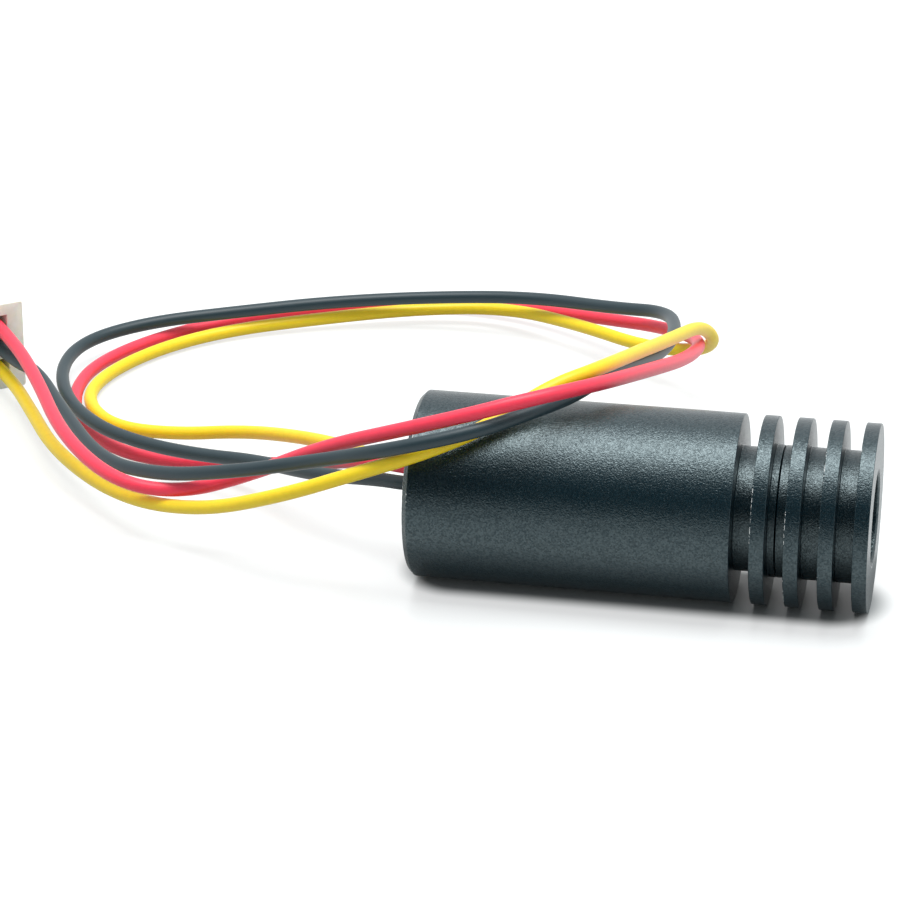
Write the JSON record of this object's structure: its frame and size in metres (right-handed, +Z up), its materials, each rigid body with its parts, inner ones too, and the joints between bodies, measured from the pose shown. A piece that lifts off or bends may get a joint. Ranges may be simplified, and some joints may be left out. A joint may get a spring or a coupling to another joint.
{
  "type": "laser diode module",
  "caption": "Laser diode module with a finned screw-in lens head, an enclosed driver board and thin leads to a small crimp connector.",
  "frame": {"origin": "on the surface that the module lies on, under the middle of its length", "axes": "+X along the barrel towards the beam's end, +Z up"},
  "size_m": [0.1047, 0.0816, 0.0259],
  "materials": {
    "barrel_anodised": "bead blasted, black anodised",
    "head_anodised": "bead blasted, black anodised",
    "cell_anodised": "black anodised",
    "lens_glass": "polished",
    "holder_brass": "turned",
    "header_gold": "gold plated",
    "chip_dark": "cleaved",
    "cap_steel": "drawn",
    "window_glass": "polished",
    "pin_gold": "gold plated",
    "ring_brass": "turned",
    "board_green": "solder mask",
    "package_black": "moulded",
    "ferrite": "pressed",
    "capacitor_amber": "moulded",
    "chip_black": "glazed",
    "chip_tan": "fired",
    "solder": "bright",
    "tinned_copper": "tinned",
    "cap_black": "turned",
    "grommet_rubber": "moulded",
    "lead_black": "semi-matt sleeve",
    "lead_red": "semi-matt sleeve",
    "lead_yellow": "semi-matt sleeve",
    "nylon_white": "moulded",
    "contact_tin": "tinned"
  },
  "bodies": {
    "module": {"barrel": "barrel_anodised", "diode_holder": "holder_brass", "diode_header": "header_gold", "laser_chip": "chip_dark", "diode_cap": "cap_steel", "diode_window": "window_glass", "diode_pins": "pin_gold", "diode_ring": "ring_brass", "driver_board": "board_green", "regulator_ic": "package_black", "power_inductor": "ferrite", "protection_diode": "package_black", "filter_capacitor": "capacitor_amber", "chip_resistors": "chip_black", "chip_capacitors": "chip_tan", "solder_joints": "solder", "lead_conductors": "tinned_copper", "rear_cap": "cap_black", "lead_grommet": "grommet_rubber", "black_lead": "lead_black", "red_lead": "lead_red", "yellow_lead": "lead_yellow", "connector_housing": "nylon_white", "connector_contacts": "contact_tin"},
    "lens_group": {"lens_cell": "cell_anodised", "lens": "lens_glass", "lens_retainer": "cell_anodised"},
    "focus_head": {"lens_head": "head_anodised"}
  },
  "joints": [
    {"name": "focus_travel", "type": "slide", "parent": "module", "child": "lens_group", "axis": [1, 0, 0], "range_m": [0, 0.0005]},
    {"name": "focus_turn", "type": "hinge", "parent": "lens_group", "child": "focus_head", "pos_m": [0, 0, 0.009], "axis": [1, 0, 0], "range_deg": [0, 360]}
  ],
  "couplings": [
    {"joint": "focus_turn", "follows": "focus_travel", "rad_per_m": 12566}
  ]
}
